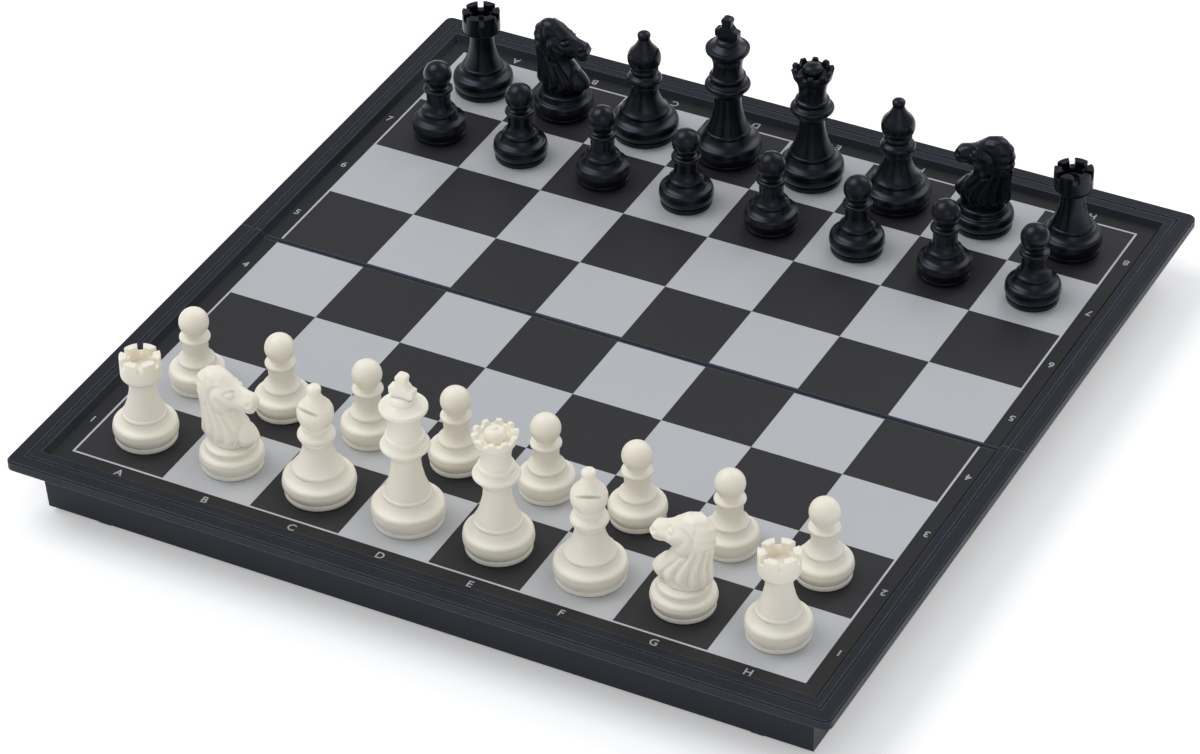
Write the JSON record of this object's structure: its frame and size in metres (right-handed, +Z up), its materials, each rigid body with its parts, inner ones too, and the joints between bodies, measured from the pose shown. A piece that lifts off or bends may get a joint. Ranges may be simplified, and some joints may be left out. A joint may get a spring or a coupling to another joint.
{
  "type": "folding magnetic chess set",
  "caption": "Folding magnetic travel chess set: two hinged hollow half boards with printed steel playing fields and separate ivory and black men with magnets in their feet.",
  "frame": {"origin": "on the table under the middle of the fold line of the open board", "axes": "+X towards the H file, +Y from the ivory side to the black side, +Z up"},
  "size_m": [0.316, 0.3206, 0.0851],
  "materials": {
    "board_plastic": "fine grained satin",
    "printed_steel": "printed in silver and black, satin",
    "pin_steel": "drawn wire",
    "ivory_plastic": "moulded, satin gloss",
    "black_plastic": "moulded, satin gloss"
  },
  "bodies": {
    "near_half": {"near_tray": "board_plastic", "near_play_plate": "printed_steel", "hinge_pin_left": "pin_steel", "hinge_pin_right": "pin_steel"},
    "far_half": {"far_tray": "board_plastic", "far_play_plate": "printed_steel"},
    "ivory_rook_a_man": {"ivory_rook_a": "ivory_plastic"},
    "ivory_pawn_a_man": {"ivory_pawn_a": "ivory_plastic"},
    "ivory_knight_b_man": {"ivory_knight_b": "ivory_plastic"},
    "ivory_pawn_b_man": {"ivory_pawn_b": "ivory_plastic"},
    "ivory_bishop_c_man": {"ivory_bishop_c": "ivory_plastic"},
    "ivory_pawn_c_man": {"ivory_pawn_c": "ivory_plastic"},
    "ivory_king_d_man": {"ivory_king_d": "ivory_plastic"},
    "ivory_pawn_d_man": {"ivory_pawn_d": "ivory_plastic"},
    "ivory_queen_e_man": {"ivory_queen_e": "ivory_plastic"},
    "ivory_pawn_e_man": {"ivory_pawn_e": "ivory_plastic"},
    "ivory_bishop_f_man": {"ivory_bishop_f": "ivory_plastic"},
    "ivory_pawn_f_man": {"ivory_pawn_f": "ivory_plastic"},
    "ivory_knight_g_man": {"ivory_knight_g": "ivory_plastic"},
    "ivory_pawn_g_man": {"ivory_pawn_g": "ivory_plastic"},
    "ivory_rook_h_man": {"ivory_rook_h": "ivory_plastic"},
    "ivory_pawn_h_man": {"ivory_pawn_h": "ivory_plastic"},
    "black_rook_a_man": {"black_rook_a": "black_plastic"},
    "black_pawn_a_man": {"black_pawn_a": "black_plastic"},
    "black_knight_b_man": {"black_knight_b": "black_plastic"},
    "black_pawn_b_man": {"black_pawn_b": "black_plastic"},
    "black_bishop_c_man": {"black_bishop_c": "black_plastic"},
    "black_pawn_c_man": {"black_pawn_c": "black_plastic"},
    "black_king_d_man": {"black_king_d": "black_plastic"},
    "black_pawn_d_man": {"black_pawn_d": "black_plastic"},
    "black_queen_e_man": {"black_queen_e": "black_plastic"},
    "black_pawn_e_man": {"black_pawn_e": "black_plastic"},
    "black_bishop_f_man": {"black_bishop_f": "black_plastic"},
    "black_pawn_f_man": {"black_pawn_f": "black_plastic"},
    "black_knight_g_man": {"black_knight_g": "black_plastic"},
    "black_pawn_g_man": {"black_pawn_g": "black_plastic"},
    "black_rook_h_man": {"black_rook_h": "black_plastic"},
    "black_pawn_h_man": {"black_pawn_h": "black_plastic"}
  },
  "joints": [
    {"name": "fold", "type": "hinge", "parent": "near_half", "child": "far_half", "pos_m": [0, 0, 0.0022], "axis": [-1, 0, 0], "range_deg": [0, 180]},
    {"name": "ivory_rook_a_lift", "type": "slide", "parent": "near_half", "child": "ivory_rook_a_man", "axis": [0, 0, 1], "range_m": [0, 0.08]},
    {"name": "ivory_pawn_a_lift", "type": "slide", "parent": "near_half", "child": "ivory_pawn_a_man", "axis": [0, 0, 1], "range_m": [0, 0.08]},
    {"name": "ivory_knight_b_lift", "type": "slide", "parent": "near_half", "child": "ivory_knight_b_man", "axis": [0, 0, 1], "range_m": [0, 0.08]},
    {"name": "ivory_pawn_b_lift", "type": "slide", "parent": "near_half", "child": "ivory_pawn_b_man", "axis": [0, 0, 1], "range_m": [0, 0.08]},
    {"name": "ivory_bishop_c_lift", "type": "slide", "parent": "near_half", "child": "ivory_bishop_c_man", "axis": [0, 0, 1], "range_m": [0, 0.08]},
    {"name": "ivory_pawn_c_lift", "type": "slide", "parent": "near_half", "child": "ivory_pawn_c_man", "axis": [0, 0, 1], "range_m": [0, 0.08]},
    {"name": "ivory_king_d_lift", "type": "slide", "parent": "near_half", "child": "ivory_king_d_man", "axis": [0, 0, 1], "range_m": [0, 0.08]},
    {"name": "ivory_pawn_d_lift", "type": "slide", "parent": "near_half", "child": "ivory_pawn_d_man", "axis": [0, 0, 1], "range_m": [0, 0.08]},
    {"name": "ivory_queen_e_lift", "type": "slide", "parent": "near_half", "child": "ivory_queen_e_man", "axis": [0, 0, 1], "range_m": [0, 0.08]},
    {"name": "ivory_pawn_e_lift", "type": "slide", "parent": "near_half", "child": "ivory_pawn_e_man", "axis": [0, 0, 1], "range_m": [0, 0.08]},
    {"name": "ivory_bishop_f_lift", "type": "slide", "parent": "near_half", "child": "ivory_bishop_f_man", "axis": [0, 0, 1], "range_m": [0, 0.08]},
    {"name": "ivory_pawn_f_lift", "type": "slide", "parent": "near_half", "child": "ivory_pawn_f_man", "axis": [0, 0, 1], "range_m": [0, 0.08]},
    {"name": "ivory_knight_g_lift", "type": "slide", "parent": "near_half", "child": "ivory_knight_g_man", "axis": [0, 0, 1], "range_m": [0, 0.08]},
    {"name": "ivory_pawn_g_lift", "type": "slide", "parent": "near_half", "child": "ivory_pawn_g_man", "axis": [0, 0, 1], "range_m": [0, 0.08]},
    {"name": "ivory_rook_h_lift", "type": "slide", "parent": "near_half", "child": "ivory_rook_h_man", "axis": [0, 0, 1], "range_m": [0, 0.08]},
    {"name": "ivory_pawn_h_lift", "type": "slide", "parent": "near_half", "child": "ivory_pawn_h_man", "axis": [0, 0, 1], "range_m": [0, 0.08]},
    {"name": "black_rook_a_lift", "type": "slide", "parent": "far_half", "child": "black_rook_a_man", "axis": [0, 0, 1], "range_m": [0, 0.08]},
    {"name": "black_pawn_a_lift", "type": "slide", "parent": "far_half", "child": "black_pawn_a_man", "axis": [0, 0, 1], "range_m": [0, 0.08]},
    {"name": "black_knight_b_lift", "type": "slide", "parent": "far_half", "child": "black_knight_b_man", "axis": [0, 0, 1], "range_m": [0, 0.08]},
    {"name": "black_pawn_b_lift", "type": "slide", "parent": "far_half", "child": "black_pawn_b_man", "axis": [0, 0, 1], "range_m": [0, 0.08]},
    {"name": "black_bishop_c_lift", "type": "slide", "parent": "far_half", "child": "black_bishop_c_man", "axis": [0, 0, 1], "range_m": [0, 0.08]},
    {"name": "black_pawn_c_lift", "type": "slide", "parent": "far_half", "child": "black_pawn_c_man", "axis": [0, 0, 1], "range_m": [0, 0.08]},
    {"name": "black_king_d_lift", "type": "slide", "parent": "far_half", "child": "black_king_d_man", "axis": [0, 0, 1], "range_m": [0, 0.08]},
    {"name": "black_pawn_d_lift", "type": "slide", "parent": "far_half", "child": "black_pawn_d_man", "axis": [0, 0, 1], "range_m": [0, 0.08]},
    {"name": "black_queen_e_lift", "type": "slide", "parent": "far_half", "child": "black_queen_e_man", "axis": [0, 0, 1], "range_m": [0, 0.08]},
    {"name": "black_pawn_e_lift", "type": "slide", "parent": "far_half", "child": "black_pawn_e_man", "axis": [0, 0, 1], "range_m": [0, 0.08]},
    {"name": "black_bishop_f_lift", "type": "slide", "parent": "far_half", "child": "black_bishop_f_man", "axis": [0, 0, 1], "range_m": [0, 0.08]},
    {"name": "black_pawn_f_lift", "type": "slide", "parent": "far_half", "child": "black_pawn_f_man", "axis": [0, 0, 1], "range_m": [0, 0.08]},
    {"name": "black_knight_g_lift", "type": "slide", "parent": "far_half", "child": "black_knight_g_man", "axis": [0, 0, 1], "range_m": [0, 0.08]},
    {"name": "black_pawn_g_lift", "type": "slide", "parent": "far_half", "child": "black_pawn_g_man", "axis": [0, 0, 1], "range_m": [0, 0.08]},
    {"name": "black_rook_h_lift", "type": "slide", "parent": "far_half", "child": "black_rook_h_man", "axis": [0, 0, 1], "range_m": [0, 0.08]},
    {"name": "black_pawn_h_lift", "type": "slide", "parent": "far_half", "child": "black_pawn_h_man", "axis": [0, 0, 1], "range_m": [0, 0.08]}
  ]
}
